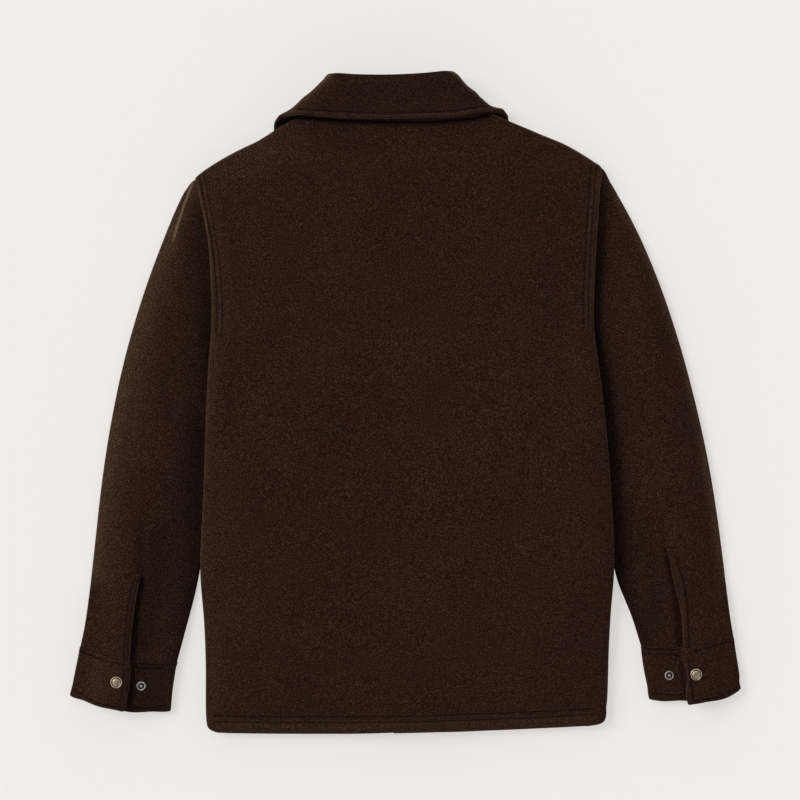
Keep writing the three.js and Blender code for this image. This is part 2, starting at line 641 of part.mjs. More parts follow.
function sleeve(side) {
  const sign = side === 'left' ? -1 : 1;
  const table = SLEEVE_SECTIONS[side];
  const ventTop = VENT[side][1].along;
  const steps = [...STEPS_ABOVE_VENT, ventTop, ...STEPS_BELOW_VENT];
  const rings = steps.map((along) => tubeRing(
    (across) => sleevePlan(side, along, across),
    (across) => sleeveHeight(side, along, across),
    widthAt(table, along),
    {
      across: readTable(VENT[side], 'along', along, 'across'),
      raise: readTable(VENT[side], 'along', along, 'raise'),
      reach: readTable(VENT[side], 'along', along, 'reach'),
    },
    sign,
  ));
  const columns = rings[0].outer.length;
  const slitRow = steps.indexOf(ventTop);
  return clothWall(rings.map((ring) => ring.outer), rings.map((ring) => ring.inner), {
    ring: true,
    gone: (i, j) => i >= slitRow && j === columns - 1,
  });
}

function cuff(side) {
  const sign = side === 'left' ? -1 : 1;
  const table = CUFF_SECTIONS[side];
  const across = VENT[side][VENT[side].length - 1].across;
  const rings = spread(0, 1, 3).map((along) => tubeRing(
    (share) => planPoint(table, along, share),
    (share) => sleeveHeight(side, 1, share),
    widthAt(table, along),
    {
      across,
      raise: readTable(CUFF_VENT, 'along', along, 'raise'),
      reach: readTable(CUFF_VENT, 'along', along, 'reach'),
    },
    sign,
  ));
  return clothWall(rings.map((ring) => ring.outer), rings.map((ring) => ring.inner));
}

// Snaps

function snapCap() {
  const { radius, height, rim, bevel, dish } = SNAP;
  const face = radius - rim;
  const outline = [
    [0, 0], [radius - bevel, 0], [radius, bevel], [radius, height - bevel], [radius - bevel, height],
    [face, height], [face - bevel, height - dish], [0, height - dish / 3],
  ].map(([x, y]) => new THREE.Vector2(x, y));
  return new THREE.LatheGeometry(outline, 18).rotateX(Math.PI / 2);
}

function snapStud() {
  const { radius, height, post, postHeight, bevel } = STUD;
  const ledge = height - bevel;
  const tip = height + postHeight;
  const outline = [
    [0, 0], [radius, 0], [radius, ledge], [radius - bevel, height], [post + bevel, ledge],
    [post, ledge], [post, tip - bevel], [post - bevel, tip], [0, tip],
  ].map(([x, y]) => new THREE.Vector2(x, y));
  return new THREE.LatheGeometry(outline, 14).rotateX(Math.PI / 2);
}

const FRONT_SNAP_PLACES = Array.from({ length: FRONT_SNAP.count }, (_, i) => {
  return FRONT_SNAP.first - i * FRONT_SNAP.spacing;
});

function frontSnapDisc(radius, depth) {
  return new THREE.CylinderGeometry(radius, radius, depth, 16).rotateX(Math.PI / 2);
}

// Joins and cuts

function toSolid(geometry) {
  const bare = geometry.clone();
  bare.deleteAttribute('normal');
  bare.deleteAttribute('uv');
  const merged = mergeVertices(bare, 1e-4);
  return new wasm.Manifold(new wasm.Mesh({
    numProp: 3,
    vertProperties: new Float32Array(merged.attributes.position.array),
    triVerts: new Uint32Array(merged.index.array),
  }));
}

function fromSolid(solid) {
  const { vertProperties, triVerts } = solid.getMesh();
  const geometry = new THREE.BufferGeometry();
  geometry.setAttribute('position', new THREE.BufferAttribute(vertProperties, 3));
  geometry.setIndex(new THREE.BufferAttribute(triVerts, 1));
  return geometry;
}

// The placket's outer face is sunk round each snap, so that the cap lies flush with the cloth.
function placketWithSeats() {
  let solid = toSolid(placket());
  FRONT_SNAP_PLACES.forEach((y) => {
    const seat = frontSnapDisc(FRONT_SNAP.radius + SEAM_GAP, 2 * (FRONT_SNAP.depth + SEAM_GAP));
    solid = solid.subtract(toSolid(seat.translate(0, y, 0)));
  });
  return fromSolid(solid);
}

// Assembly

const jacket = new THREE.Group();
const laid = new THREE.Group();
laid.rotation.z = THREE.MathUtils.degToRad(LAY_ANGLE);
laid.position.set(LAY_SHIFT.x, LAY_SHIFT.y, 0);
jacket.add(laid);

function add(name, geometry, material, { x = 0, y = 0, z = 0 } = {}) {
  const mesh = new THREE.Mesh(geometry, new THREE.MeshStandardMaterial(material));
  mesh.name = name;
  mesh.position.set(x, y, z);
  laid.add(mesh);
}

add('back', backPanel(), WOOL);
add('left_front', frontPanel('left'), WOOL_UNDER);
add('right_front', frontPanel('right'), WOOL_UNDER);
add('front_placket', placketWithSeats(), WOOL_UNDER);
add('collar_fall', collarFall(), WOOL);
add('collar_stand', collarStand(), WOOL_UNDER);

['left', 'right'].forEach((side) => {
  const sign = side === 'left' ? -1 : 1;
  const { capX, capY, studX, studY } = SNAP_PLACES[side];
  const capZ = SLEEVE_HEIGHT.cuff + SNAP.seat;
  const studZ = SLEEVE_HEIGHT.cuff + SEAM_GAP;
  add(`${side}_sleeve`, sleeve(side), WOOL);
  add(`${side}_cuff`, cuff(side), WOOL);
  add(`${side}_cuff_snap_cap`, snapCap(), BRASS, { x: sign * capX, y: capY, z: capZ });
  add(`${side}_cuff_snap_stud`, snapStud(), BRASS, { x: sign * studX, y: studY, z: studZ });
});

FRONT_SNAP_PLACES.forEach((y, i) => {
  const disc = frontSnapDisc(FRONT_SNAP.radius, FRONT_SNAP.depth);
  add(`front_snap_${i + 1}`, disc, BRASS, { y, z: FRONT_SNAP.depth / 2 });
});

export default jacket;
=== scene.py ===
import math

import bmesh
import bpy
import numpy as np
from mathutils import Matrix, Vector, noise
from mathutils.bvhtree import BVHTree


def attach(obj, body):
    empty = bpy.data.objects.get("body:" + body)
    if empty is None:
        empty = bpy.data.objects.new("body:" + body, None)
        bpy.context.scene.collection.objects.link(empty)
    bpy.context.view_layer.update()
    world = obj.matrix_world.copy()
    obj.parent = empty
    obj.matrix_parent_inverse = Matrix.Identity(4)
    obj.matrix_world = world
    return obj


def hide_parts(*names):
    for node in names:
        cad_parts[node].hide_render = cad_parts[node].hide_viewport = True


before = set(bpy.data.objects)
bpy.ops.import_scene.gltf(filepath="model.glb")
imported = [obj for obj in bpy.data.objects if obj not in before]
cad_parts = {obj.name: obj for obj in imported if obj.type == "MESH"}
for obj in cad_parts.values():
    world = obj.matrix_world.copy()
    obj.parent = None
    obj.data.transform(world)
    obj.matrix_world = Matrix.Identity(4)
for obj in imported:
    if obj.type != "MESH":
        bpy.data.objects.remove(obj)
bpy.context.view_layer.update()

# Back
# One plain panel of thick brown wool melton on quilted padding, from the neck down to the hem.
# It is cut in one, joined to the sleeves by armhole seams that are topstitched twice on the
# body's side, and its hem is turned under and stitched down twice.
MM = 0.001

# The garment is measured in millimetres from its own centre line, with Y up to the collar and
# Z up off the floor. That line lies turned a little on the floor, as the jacket was put down.
LAY_TURN = math.radians(1.14)
LAY_SHIFT = (-6.4, 1.2)

# The hem's two rows lie this far above it. It bows up at its ends and down in the middle.
HEM_Y = -377.5
HEM_ROWS = (13.4, 20.2)
HEM_ROW_STOPS = (-221, -185, -150, -75, 0, 75, 150, 185, 216)
HEM_BOW = 4.4
HEM_DROP = 1.3
HEM_HALF_WIDTH = 220
HEM_BOW_RUN = 90

# Lines over the back: the armhole seams and the body's outer edges from the top down, the
# shoulders from the collar outwards, and where the back turns down under the collar's edge.
# The armhole's two rows lie 6.5 and 12.5 mm inside its seam.
ARMHOLE_ROWS = (6.5, 12.5)
ARMHOLE_EDGE = {
    "left": [(-231.5, 265), (-228.5, 250), (-223.5, 220), (-219.5, 195), (-216.2, 170), (-214.2, 140),
             (-213.4, 120), (-213.8, 100), (-215.0, 82)],
    "right": [(237, 265), (235.2, 250), (232.6, 220), (230.2, 195), (228.4, 170), (226.4, 140),
              (225, 120), (224, 100), (224.6, 82)],
}
BODY_EDGE = {
    "left": [(-229.5, 261.3), (-223.5, 232.4), (-219.1, 203.5), (-216, 157.5), (-216, 99.9),
             (-219.2, 54), (-223.6, 8), (-230.6, -83.8), (-233.1, -152.8), (-232, -210.4)],
    "right": [(235.3, 261.2), (233.7, 238.2), (231.1, 194.6), (226.2, 148.7), (222.7, 91.2),
              (226.4, 45.1), (233.5, -1), (238.6, -93.2), (241.3, -162.3), (238.4, -219.7)],
}
SHOULDER_LINE = {
    "left": [(-138.6, 317), (-170, 299.2), (-204.9, 281.5), (-224, 269.4)],
    "right": [(154.6, 311.2), (199.1, 291.9), (228.6, 272.9), (236.6, 266.4)],
}
UNDER_COLLAR = [(-126, 329.6), (-114.2, 330), (-96.9, 328.5), (-74, 326.4), (-51, 324.4), (-28, 323.1),
                (6.5, 321.3), (41, 321.2), (75.5, 322.8), (98.6, 325.2), (112.5, 329)]

# Each swell of the padding has its height, its size and its place in the noise.
BACK_SWELLS = [(1.1, 95, 3.1), (0.35, 34, 8.4)]

# Each fold has its line, its height (below zero for a trough), its width and how its ends fade.
BACK_TROUGHS = [
    ([(-122, 150), (-124, 90), (-127, 20)], -0.9, 26, 60),
    ([(-44, 10), (-38, -40), (-34, -95)], -0.8, 22, 50),
    ([(84, 84), (96, 36), (112, -8)], -0.9, 24, 45),
    ([(-150, -120), (-128, -190), (-122, -260)], -0.6, 30, 60),
    ([(60, -180), (74, -240), (70, -300)], -0.5, 26, 50),
    ([(150, 190), (176, 120), (182, 40)], -0.7, 24, 60),
    ([(-176, 210), (-184, 130), (-178, 60)], -0.7, 22, 60),
    ([(-60, 250), (0, 236), (64, 248)], -0.5, 26, 40),
]

# Each pull has its spot, how far round the spot it reaches, and the move across and up.
BACK_PULLS = [
    ((-228, -372), 15, (-1.6, -1.2)),
    ((-213, -380), 9, (0, 1)),
    ((226, -369), 24, (2.8, -3.2)),
    ((232, -330), 64, (-1.3, 0)),
    ((0, -377), 75, (0, 1.3)),
    ((-150, 309), 24, (0.6, -0.8)),
    ((234, 266), 9, (0.5, 1)),
    ((-219, 208), 78, (2.5, 0)),
]

# A sewn row sinks into the padded cloth, which swells again on the side of the edge.
ROW_DEPTH = 1.2
ROW_WIDTH = 2.1
ROW_ENDS = 10
SWELL_BY_ROW = 0.8
SWELL_BY_ROW_WIDTH = 3.4
SWELL_ASIDE = {"hem": -5.5, "left": -4, "right": 4}

# An edge that turns by more than this is a rim, and keeps a share of its sharpness.
RIM_ANGLE = math.radians(55)
RIM_SHARPNESS = 0.5

# A lift or a pull takes in the cloth above a given height, and comes in over a short run. The
# height that takes in every layer lies below the floor.
EVERY_LAYER = -1.0
LIFT_RUN = 4
PULL_RUN = 2

# How far a sewn row and a line of painted highlight or shade go on past their last points, and the upward
# share of a normal at which the cloth counts as fully on its top side.
PAST_ROW = 3
PAST_PAINTED_LINE = 8
TOP_SIDE = 0.3


def laid(x, y, z=0.0):
    """A garment place in millimetres as a world place in metres."""
    east = x * math.cos(LAY_TURN) - y * math.sin(LAY_TURN) + LAY_SHIFT[0]
    north = x * math.sin(LAY_TURN) + y * math.cos(LAY_TURN) + LAY_SHIFT[1]
    return Vector((east * MM, north * MM, z * MM))


def on_garment(places):
    """World places in metres as garment places in millimetres."""
    east = places[:, 0] / MM - LAY_SHIFT[0]
    north = places[:, 1] / MM - LAY_SHIFT[1]
    across = east * math.cos(LAY_TURN) + north * math.sin(LAY_TURN)
    up = north * math.cos(LAY_TURN) - east * math.sin(LAY_TURN)
    return np.stack([across, up, places[:, 2] / MM], axis=1)


def read_places(piece):
    flat = np.empty(len(piece.data.vertices) * 3)
    piece.data.vertices.foreach_get("co", flat)
    return flat.reshape(-1, 3)


def write_places(piece, places):
    piece.data.vertices.foreach_set("co", places.ravel())
    piece.data.update()


def smooth_share(value):
    held = np.clip(value, 0, 1)
    return held * held * (3 - 2 * held)


def beside_line(places, line):
    """Signed distance to the left of a line of points, how far along it, and its length."""
    nearest = np.full(len(places), np.inf)
    side = np.zeros(len(places))
    along = np.zeros(len(places))
    start = 0.0
    for (from_x, from_y), (to_x, to_y) in zip(line, line[1:]):
        run = np.array([to_x - from_x, to_y - from_y])
        length = np.hypot(*run)
        run = run / length
        offset = places[:, :2] - np.array([from_x, from_y])
        ahead = offset @ run
        left = offset[:, 1] * run[0] - offset[:, 0] * run[1]
        held = np.clip(ahead, 0, length)
        distance = np.hypot(ahead - held, left)
        closer = distance < nearest
        nearest = np.where(closer, distance, nearest)
        side = np.where(closer, np.where(left < 0, -distance, distance), side)
        along = np.where(closer, start + ahead, along)
        start += length
    return side, along, start


def moved_aside(line, distance):
    """A line of points shifted to its left, square to itself."""
    moved = []
    for number, (x, y) in enumerate(line):
        before = line[max(0, number - 1)]
        after = line[min(len(line) - 1, number + 1)]
        run_x = after[0] - before[0]
        run_y = after[1] - before[1]
        length = math.hypot(run_x, run_y)
        moved.append((x - run_y / length * distance, y + run_x / length * distance))
    return moved


def padded_lift(places, swells, folds):
    """How far padded cloth rises: low swells that were smoothed out by hand, and soft folds."""
    lift = np.zeros(len(places))
    for height, size, shift in swells:
        rise = [noise.noise(Vector((x / size + shift, y / size, shift))) for x, y, _ in places]
        lift += height * np.array(rise)
    for line, height, width, ends in folds:
        side, along, length = beside_line(places, line)
        fade = smooth_share(along / ends) * smooth_share((length - along) / ends)
        lift += height * np.exp(-((side / width) ** 2)) * fade
    return lift


def shape_cloth(piece, lift, above=EVERY_LAYER):
    """Lifts the cloth by millimetres, in full only where it lies well above the given height."""
    places = read_places(piece)
    share = smooth_share((places[:, 2] / MM - above) / LIFT_RUN)
    places[:, 2] += lift * share * MM
    write_places(piece, places)


def pull(piece, spot, reach, move, above=EVERY_LAYER):
    """Draws the cloth round one spot sideways over the floor, in garment millimetres."""
    places = read_places(piece)
    garment = on_garment(places)
    away = np.hypot(garment[:, 0] - spot[0], garment[:, 1] - spot[1])
    share = smooth_share(1 - away / reach) * smooth_share((garment[:, 2] - above) / PULL_RUN)
    places += share[:, None] * np.array(laid(*move) - laid(0, 0))
    write_places(piece, places)


def cloth_shell(name, node, levels=2):
    """A copy of a node's closed wall, merged into quads and rounded as thick wool is.

    The rims keep half of their sharpness, so that the cloth doesn't shrink as it is rounded.
    """
    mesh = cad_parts[node].data.copy()
    mesh.name = name
    mesh.materials.clear()
    shell = bmesh.new()
    shell.from_mesh(mesh)
    bmesh.ops.remove_doubles(shell, verts=shell.verts, dist=0.03 * MM)
    bmesh.ops.join_triangles(
        shell,
        faces=shell.faces,
        angle_face_threshold=math.radians(50),
        angle_shape_threshold=math.radians(70),
    )
    sharpness = shell.edges.layers.float.new("crease_edge")
    for edge in shell.edges:
        if edge.calc_face_angle(0) > RIM_ANGLE:
            edge[sharpness] = RIM_SHARPNESS
    shell.to_mesh(mesh)
    shell.free()
    piece = bpy.data.objects.new(name, mesh)
    bpy.context.scene.collection.objects.link(piece)
    bpy.ops.object.select_all(action="DESELECT")
    piece.select_set(True)
    bpy.context.view_layer.objects.active = piece
    rounding = piece.modifiers.new("rounding", "SUBSURF")
    rounding.levels = levels
    rounding.render_levels = levels
    bpy.ops.object.modifier_apply(modifier="rounding")
    bpy.ops.object.shade_smooth()
    return piece


def bow_of_hem(x, y):
    """How far the hem lies above its straight line, fading out up the panel."""
    bow = HEM_BOW * (x / HEM_HALF_WIDTH) ** 2 - HEM_DROP
    return bow * smooth_share((HEM_Y + HEM_BOW_RUN - y) / HEM_BOW_RUN)


def bow_hem(piece):
    """Lays the hem on its bowed line."""
    places = read_places(piece)
    garment = on_garment(places)
    places[:, 1] += bow_of_hem(garment[:, 0], garment[:, 1]) * MM
    write_places(piece, places)


def mark_line(piece, name, line, ends=3):
    """Writes how far each point lies from a line, such as a sewn row, for the wool's shading.

    It shows on the cloth's top side only, and fades out at the line's two ends.
    """
    places = on_garment(read_places(piece))
    side, along, length = beside_line(places, line)
    normals = np.empty(len(places) * 3)
    piece.data.vertices.foreach_get("normal", normals)
    upward = smooth_share(normals.reshape(-1, 3)[:, 2] / TOP_SIDE)
    inside = smooth_share((along + PAST_ROW) / ends) * smooth_share((length - along + PAST_ROW) / ends)
    beside = piece.data.attributes.new(name, "FLOAT", "POINT")
    beside.data.foreach_set("value", side)
    fade = piece.data.attributes.new(f"{name}_fade", "FLOAT", "POINT")
    fade.data.foreach_set("value", upward * inside)


def paint_light_and_shade(piece, name, lines, ends=12):
    """Writes where the wool gets a painted highlight or a painted shade, for the wool's shading.

    Each line has its own strength and width.
    """
    places = on_garment(read_places(piece))
    painted_share = np.zeros(len(places))
    for line, strength, width in lines:
        side, along, length = beside_line(places, line)
        inside = smooth_share((along + PAST_PAINTED_LINE) / ends)
        inside *= smooth_share((length - along + PAST_PAINTED_LINE) / ends)
        painted_share = np.maximum(painted_share, strength * np.exp(-((side / width) ** 2)) * inside)
    share = piece.data.attributes.new(name, "FLOAT", "POINT")
    share.data.foreach_set("value", painted_share)


# The wool's fibres, its painted highlight, and how a sewn row shows in it as a groove with painted shade
# and a sharp fold as a painted highlight. Widths are in millimetres.
WOOL_DARK = (0.008, 0.0031, 0.0016, 1)
WOOL_BROWN = (0.0188, 0.0077, 0.0041, 1)
WOOL_TAN = (0.0615, 0.0335, 0.0222, 1)
WOOL_PAINTED_HIGHLIGHT = (0.14, 0.088, 0.056, 1)
GROOVE_WIDTH = 0.95
GROOVE_SHADE = 0.52
GROOVE_DEPTH = 0.8
PUCKER_WIDTH = 3.4
PUCKER_HEIGHT = 1.2
FOLD_WIDTH = 1.2
FOLD_PAINTED_HIGHLIGHT = 2.6


def wool(name, rows):
    """Felted wool: mixed dark and tan fibres, a soft nap, a groove with painted shade at each sewn row,
    and painted highlight and painted shade along the lines that a piece carries.
    """
    material = bpy.data.materials.new(name)
    material.use_nodes = True
    nodes = material.node_tree.nodes
    links = material.node_tree.links
    skin = nodes["Principled BSDF"]
    skin.inputs["Roughness"].default_value = 0.95
    skin.inputs["Specular IOR Level"].default_value = 0.04
    skin.inputs["Sheen Weight"].default_value = 0.3
    skin.inputs["Sheen Roughness"].default_value = 0.32
    skin.inputs["Sheen Tint"].default_value = (0.6, 0.38, 0.22, 1)
    place = nodes.new("ShaderNodeTexCoord")

    def cloud(scale, detail, roughness):
        texture = nodes.new("ShaderNodeTexNoise")
        texture.inputs["Scale"].default_value = scale
        texture.inputs["Detail"].default_value = detail
        texture.inputs["Roughness"].default_value = roughness
        links.new(place.outputs["Object"], texture.inputs["Vector"])
        return texture.outputs["Fac"]

    def combine(operation, first, second):
        math_node = nodes.new("ShaderNodeMath")
        math_node.operation = operation
        for socket, value in zip(math_node.inputs, (first, second)):
            if isinstance(value, (int, float)):
                socket.default_value = value
            else:
                links.new(value, socket)
        return math_node.outputs[0]

    def weighed_sum(first, first_share, second, second_share):
        first = combine("MULTIPLY", first, first_share)
        return combine("ADD", first, combine("MULTIPLY", second, second_share))

    def written(attribute):
        value = nodes.new("ShaderNodeAttribute")
        value.attribute_name = attribute
        return value.outputs["Fac"]

    def near_line(line, width):
        squared = combine("MULTIPLY", written(line), written(line))
        near = combine("EXPONENT", combine("MULTIPLY", squared, -1 / width ** 2), 0)
        return combine("MULTIPLY", near, written(f"{line}_fade"))

    fibres = cloud(scale=1150, detail=2, roughness=0.6)
    tufts = cloud(scale=640, detail=2, roughness=0.6)
    patches = cloud(scale=16, detail=2, roughness=0.5)
    mixed = weighed_sum(fibres, 0.42, tufts, 0.58)
    heather = nodes.new("ShaderNodeValToRGB")
    heather.color_ramp.elements[0].position = 0.37
    heather.color_ramp.elements[0].color = WOOL_DARK
    heather.color_ramp.elements[1].position = 0.67
    heather.color_ramp.elements[1].color = WOOL_TAN
    brown = heather.color_ramp.elements.new(0.5)
    brown.color = WOOL_BROWN
    links.new(mixed, heather.inputs["Fac"])

    groove = 0.0
    pucker = 0.0
    for number in range(1, rows + 1):
        groove = combine("ADD", near_line(f"row_{number}", GROOVE_WIDTH), groove)
        pucker = combine("ADD", near_line(f"row_{number}", PUCKER_WIDTH), pucker)

    # Painted highlight: the wool is made paler along the lines that a piece carries and on the left
    # sleeve's head fold, on the tips of the fibres first.
    highlighted = nodes.new("ShaderNodeMix")
    highlighted.data_type = "RGBA"
    highlighted.inputs["B"].default_value = WOOL_PAINTED_HIGHLIGHT
    tips = combine("MULTIPLY", combine("SUBTRACT", mixed, 0.33), 3)
    fold_highlight = combine("MULTIPLY", near_line("fold", FOLD_WIDTH), FOLD_PAINTED_HIGHLIGHT)
    nap = combine("ADD", written("painted_highlight"), fold_highlight)
    links.new(combine("MULTIPLY", nap, tips), highlighted.inputs["Factor"])
    links.new(heather.outputs["Color"], highlighted.inputs["A"])

    # Its tone varies a little from place to place. It is darkened by painted shade along the lines that a
    # piece carries, and in the groove of each sewn row.
    shade = nodes.new("ShaderNodeMix")
    shade.data_type = "RGBA"
    shade.blend_type = "MULTIPLY"
    shade.inputs["Factor"].default_value = 1
    links.new(highlighted.outputs["Result"], shade.inputs["A"])
    tone = combine("ADD", combine("MULTIPLY", patches, 0.3), 0.85)
    tone = combine("MULTIPLY", tone, combine("SUBTRACT", 1, written("painted_shade")))
    if rows:
        lit = combine("SUBTRACT", 1, combine("MULTIPLY", groove, GROOVE_SHADE))
        tone = combine("MULTIPLY", tone, lit)
    links.new(tone, shade.inputs["B"])
    links.new(shade.outputs["Result"], skin.inputs["Base Color"])

    height = weighed_sum(fibres, 0.4, tufts, 0.45)
    if rows:
        gathered = cloud(scale=150, detail=1, roughness=0.5)
        wrinkle = combine("MULTIPLY", combine("MULTIPLY", pucker, gathered), PUCKER_HEIGHT)
        height = combine("ADD", height, wrinkle)
        height = combine("SUBTRACT", height, combine("MULTIPLY", groove, GROOVE_DEPTH))
    relief = nodes.new("ShaderNodeBump")
    relief.inputs["Strength"].default_value = 0.8
    relief.inputs["Distance"].default_value = MM
    links.new(height, relief.inputs["Height"])
    links.new(relief.outputs["Normal"], skin.inputs["Normal"])
    return material


def sewing_thread():
    """Twisted polyester thread, dyed as the wool is."""
    material = bpy.data.materials.new("sewing thread")
    material.use_nodes = True
    nodes = material.node_tree.nodes
    links = material.node_tree.links
    skin = nodes["Principled BSDF"]
    skin.inputs["Roughness"].default_value = 0.8
    skin.inputs["Specular IOR Level"].default_value = 0.06
    place = nodes.new("ShaderNodeTexCoord")
    twist = nodes.new("ShaderNodeTexNoise")
    twist.inputs["Scale"].default_value = 2600
    links.new(place.outputs["Object"], twist.inputs["Vector"])
    dye = nodes.new("ShaderNodeValToRGB")
    dye.color_ramp.elements[0].color = (0.005, 0.0021, 0.0011, 1)
    dye.color_ramp.elements[1].color = (0.013, 0.006, 0.0032, 1)
    links.new(twist.outputs["Fac"], dye.inputs["Fac"])
    links.new(dye.outputs["Color"], skin.inputs["Base Color"])
    relief = nodes.new("ShaderNodeBump")
    relief.inputs["Distance"].default_value = 0.1 * MM
    links.new(twist.outputs["Fac"], relief.inputs["Height"])
    links.new(relief.outputs["Normal"], skin.inputs["Normal"])
    return material


# The back has the most rows of all pieces: two at the hem, two at each armhole, and the line under the
# collar, which isn't sewn but gets the same painted shade and relief.
MOST_ROWS = 7
stitched_wool = wool("stitched wool", MOST_ROWS)
thread = sewing_thread()

# A stitch is a round thread in five sections: where along it, and how thick there. Its middle
# rises over the cloth and its ends dip into it, by shares of the thread's radius.
STITCH_PITCH = 3.4
STITCH_LENGTH = 2.3
STITCH_SECTIONS = [(-0.5, 0.15), (-0.32, 0.85), (0, 1), (0.32, 0.85), (0.5, 0.15)]
STITCH_SIDES = 6
THREAD_RADIUS = 0.3
THREAD_RISE = 0.25
THREAD_DIP = 1.3

# The cloth's top is found from this height, straight down. Where its normal points up by less
# than this share, it is too steep to be sewn.
HIGH_ABOVE = 80
DOWN = Vector((0, 0, -1))
TOO_STEEP = 0.2


def add_stitch(corners, faces, seat, normal, run):
    """Adds one stitch to a mesh: it lies on the cloth and dips into it at both ends."""
    run = (run - normal * run.dot(normal)).normalized()
    aside = normal.cross(run)
    first = len(corners)
    for where, thickness in STITCH_SECTIONS:
        sunk = THREAD_RADIUS * (THREAD_RISE - THREAD_DIP * (2 * where) ** 2)
        centre = seat + (run * where * STITCH_LENGTH + normal * sunk) * MM
        for turn in range(STITCH_SIDES):
            around = 2 * math.pi * turn / STITCH_SIDES
            ring = aside * math.cos(around) + normal * math.sin(around)
            corners.append(centre + ring * THREAD_RADIUS * thickness * MM)
    for section in range(len(STITCH_SECTIONS) - 1):
        for turn in range(STITCH_SIDES):
            a = first + section * STITCH_SIDES + turn
            b = first + section * STITCH_SIDES + (turn + 1) % STITCH_SIDES
            faces.append((a, b, b + STITCH_SIDES, a + STITCH_SIDES))
    last = first + (len(STITCH_SECTIONS) - 1) * STITCH_SIDES
    faces.append(tuple(first + turn for turn in reversed(range(STITCH_SIDES))))
    faces.append(tuple(last + turn for turn in range(STITCH_SIDES)))


def sew(name, piece, lines, pitch=STITCH_PITCH):
    """Rows of lockstitch, laid on the cloth wherever it isn't too steep to be sewn."""
    cloth = BVHTree.FromObject(piece, bpy.context.evaluated_depsgraph_get())
    corners = []
    faces = []
    for line in lines:
        at = pitch / 2
        for (from_x, from_y), (to_x, to_y) in zip(line, line[1:]):
            length = math.hypot(to_x - from_x, to_y - from_y)
            run = laid(to_x, to_y) - laid(from_x, from_y)
            while at < length:
                share = at / length
                x = from_x + (to_x - from_x) * share
                y = from_y + (to_y - from_y) * share
                seat, normal, _, _ = cloth.ray_cast(laid(x, y, HIGH_ABOVE), DOWN)
                if seat is not None and normal.z >= TOO_STEEP:
                    add_stitch(corners, faces, seat, normal, run)
                at += pitch
            at -= length
    mesh = bpy.data.meshes.new(name)
    mesh.from_pydata(corners, [], faces)
    facing = bmesh.new()
    facing.from_mesh(mesh)
    bmesh.ops.recalc_face_normals(facing, faces=facing.faces)
    facing.to_mesh(mesh)
    facing.free()
    mesh.materials.append(thread)
    rows = bpy.data.objects.new(name, mesh)
    bpy.context.scene.collection.objects.link(rows)
    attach(rows, "root")
    return rows


hem_rows = [
    [(x, HEM_Y + offset + bow_of_hem(x, HEM_Y)) for x in HEM_ROW_STOPS]
    for offset in HEM_ROWS
]
left_armhole_rows = [moved_aside(ARMHOLE_EDGE["left"], offset) for offset in ARMHOLE_ROWS]
right_armhole_rows = [moved_aside(ARMHOLE_EDGE["right"], -offset) for offset in ARMHOLE_ROWS]
back_rows = hem_rows + left_armhole_rows + right_armhole_rows

back_folds = BACK_TROUGHS + [(line, -ROW_DEPTH, ROW_WIDTH, ROW_ENDS) for line in back_rows]
for line, aside in (
    (hem_rows[0], SWELL_ASIDE["hem"]),
    (left_armhole_rows[0], SWELL_ASIDE["left"]),
    (right_armhole_rows[0], SWELL_ASIDE["right"]),
):
    back_folds.append((moved_aside(line, aside), SWELL_BY_ROW, SWELL_BY_ROW_WIDTH, ROW_ENDS))
back_folds += [
    (moved_aside(BODY_EDGE["left"], 16), 2.2, 22, 40),
    (moved_aside(BODY_EDGE["left"], 4), 0.6, 4, 30),
    (moved_aside(BODY_EDGE["right"], -16), 2.2, 22, 40),
    (UNDER_COLLAR, -5, 2.8, 8),
]
# Painted highlight along the shoulders, beside the armholes, down the back's left side and just above the
# hem.
back_painted_highlight = [
    (SHOULDER_LINE["left"], 0.7, 2),
    (SHOULDER_LINE["right"], 0.5, 2),
    (moved_aside(ARMHOLE_EDGE["left"], 8), 0.17, 10),
    (moved_aside(ARMHOLE_EDGE["right"], -6), 0.12, 8),
    (moved_aside(BODY_EDGE["left"], 6), 0.1, 9),
    ([(-226, -190), (-219, -290), (-217, -385)], 0.09, 9),
    ([(-204, -40), (-207, -150), (-205, -260)], 0.055, 24),
    ([(-226, 262), (-160, 292), (-100, 312)], 0.09, 24),
    (moved_aside(hem_rows[0], -4), 0.13, 9),
]

back = cloth_shell("back_panel", "back")
bow_hem(back)
shape_cloth(back, padded_lift(on_garment(read_places(back)), BACK_SWELLS, back_folds))
for spot, reach, move in BACK_PULLS:
    pull(back, spot, reach, move)
paint_light_and_shade(back, "painted_highlight", back_painted_highlight, ends=20)
for number, line in enumerate(back_rows + [UNDER_COLLAR], start=1):
    mark_line(back, f"row_{number}", line)
back.data.materials.append(stitched_wool)
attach(back, "root")
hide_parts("back")
back_stitches = sew("back_stitches", back, back_rows)


# Fronts and placket
# The two fronts lie beneath the back, face down on the floor. The left one ends in the placket,
# the lowest layer, and the right one's band crosses the centre on top of it. All of it is of the
# back's wool, joined by plain seams, and none of it shows from above.
FRONT_SWELLS = [(0.3, 60, 5.7)]
FLAT_BELOW = 5
plain_wool = wool("plain wool", 0)


def hidden_panel(name, node, levels, swells):
    """A panel that the back or the collar hides, its lowest side left flat."""
    panel = cloth_shell(name, node, levels)
    bow_hem(panel)
    lift = padded_lift(on_garment(read_places(panel)), swells, [])
    shape_cloth(panel, lift, above=FLAT_BELOW)
    panel.data.materials.append(plain_wool)
    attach(panel, "root")
    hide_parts(node)


hidden_panel(
    "left_front_panel", "left_front", levels=1, swells=FRONT_SWELLS
)
hidden_panel(
    "right_front_panel", "right_front", levels=1, swells=FRONT_SWELLS
)
hidden_panel(
    "front_placket_band", "front_placket", levels=1, swells=[]
)


